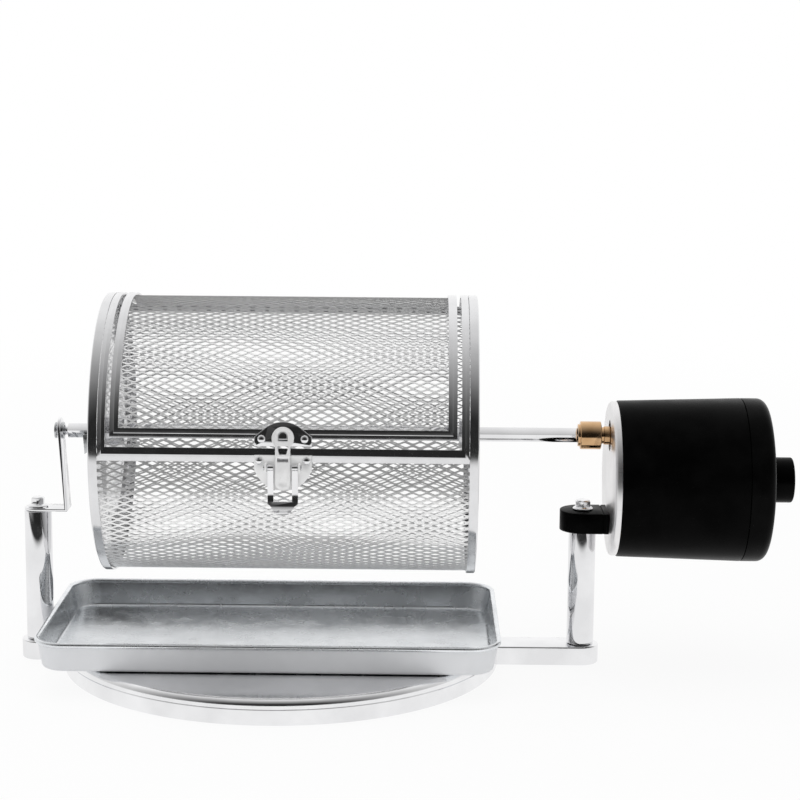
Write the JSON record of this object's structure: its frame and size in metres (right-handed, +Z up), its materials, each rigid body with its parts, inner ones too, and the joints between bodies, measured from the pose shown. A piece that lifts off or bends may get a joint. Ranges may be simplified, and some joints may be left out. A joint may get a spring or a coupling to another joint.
{
  "type": "electric coffee roaster",
  "caption": "Small electric coffee roaster: a mesh drum with a latched door, turned on a square rod by a geared motor, over a pan on a round base.",
  "frame": {"origin": "on the floor under the middle of the drum, on the underside of the base bar", "axes": "+X along the drum's axis towards the motor, +Y away from the user, +Z up"},
  "size_m": [0.4209, 0.2374, 0.2015],
  "materials": {
    "chrome": "polished",
    "stainless": "satin mesh",
    "brushed_steel": "brushed",
    "tray_steel": "satin",
    "black_coat": "satin",
    "black_plastic": "satin",
    "satin_aluminium": "satin",
    "brass": "turned",
    "steel": "plain",
    "grey_plastic": "matte",
    "gear_plastic": "matte",
    "circuit_board": "matte"
  },
  "bodies": {
    "base": {"base_bar": "chrome", "base_disc": "chrome", "disc_screw": "steel", "left_post": "chrome", "right_post": "chrome", "left_post_screw": "steel", "right_post_screw": "steel", "left_bracket": "chrome", "left_bracket_bolt": "chrome", "rod_bush": "steel", "motor_arm": "black_coat", "motor_arm_bolt": "chrome", "front_arm_screw": "steel", "back_arm_screw": "steel", "face_plate": "satin_aluminium", "motor_housing": "black_coat", "end_cap": "black_plastic", "gear_plate": "steel", "case_screw_1": "steel", "case_screw_2": "steel", "standoff_1": "brass", "standoff_2": "brass", "standoff_3": "brass", "gear_motor": "steel", "output_bush": "black_plastic", "control_board": "circuit_board", "potentiometer": "steel", "power_inlet": "grey_plastic"},
    "idler": {"idler_gear": "gear_plastic"},
    "pinion": {"motor_pinion": "brass"},
    "knob": {"pot_shaft": "steel", "speed_knob": "black_plastic"},
    "drum": {"drive_rod": "chrome", "rod_clip": "steel", "stop_tab": "steel", "left_drum_cap": "brushed_steel", "right_drum_cap": "brushed_steel", "drum_mesh": "stainless", "opening_frame": "brushed_steel", "left_body_leaf": "stainless", "right_body_leaf": "stainless", "left_hinge_pin": "steel", "right_hinge_pin": "steel", "latch_base": "chrome", "left_base_rivet": "chrome", "right_base_rivet": "chrome", "left_lever_pin": "chrome", "right_lever_pin": "chrome", "coupler": "brass", "output_gear": "gear_plastic"},
    "door": {"door_mesh": "stainless", "door_frame": "brushed_steel", "left_door_leaf": "stainless", "right_door_leaf": "stainless", "catch_plate": "chrome", "left_catch_rivet": "chrome", "right_catch_rivet": "chrome"},
    "lever": {"latch_lever": "chrome"},
    "link": {"latch_link": "chrome"},
    "tray": {"tray": "tray_steel"}
  },
  "joints": [
    {"name": "drum_spin", "type": "hinge", "parent": "base", "child": "drum", "pos_m": [0, 0, 0.1263], "axis": [1, 0, 0], "continuous": true},
    {"name": "idler_spin", "type": "hinge", "parent": "base", "child": "idler", "pos_m": [0.185, 0.01501, 0.11431], "axis": [1, 0, 0], "continuous": true},
    {"name": "pinion_spin", "type": "hinge", "parent": "base", "child": "pinion", "pos_m": [0.185, 0, 0.10233], "axis": [1, 0, 0], "continuous": true},
    {"name": "door_swing", "type": "hinge", "parent": "drum", "child": "door", "pos_m": [0, 0.03802, 0.19349], "axis": [1, 0, 0], "range_deg": [-110, 0]},
    {"name": "latch_lever_turn", "type": "hinge", "parent": "drum", "child": "lever", "pos_m": [0, -0.0782, 0.1224], "axis": [-1, 0, 0], "range_deg": [0, 100]},
    {"name": "latch_link_turn", "type": "hinge", "parent": "door", "child": "link", "pos_m": [0, -0.07488, 0.14285], "axis": [-1, 0, 0], "range_deg": [0, 30]},
    {"name": "knob_turn", "type": "hinge", "parent": "base", "child": "knob", "pos_m": [0.26, 0, 0.1027], "axis": [1, 0, 0], "range_deg": [0, 270]},
    {"name": "tray_pull", "type": "slide", "parent": "base", "child": "tray", "axis": [0, -1, 0], "range_m": [0, 0.15]}
  ],
  "couplings": [
    {"joint": "idler_spin", "follows": "drum_spin", "ratio": -2.5},
    {"joint": "pinion_spin", "follows": "drum_spin", "ratio": 6.25}
  ]
}
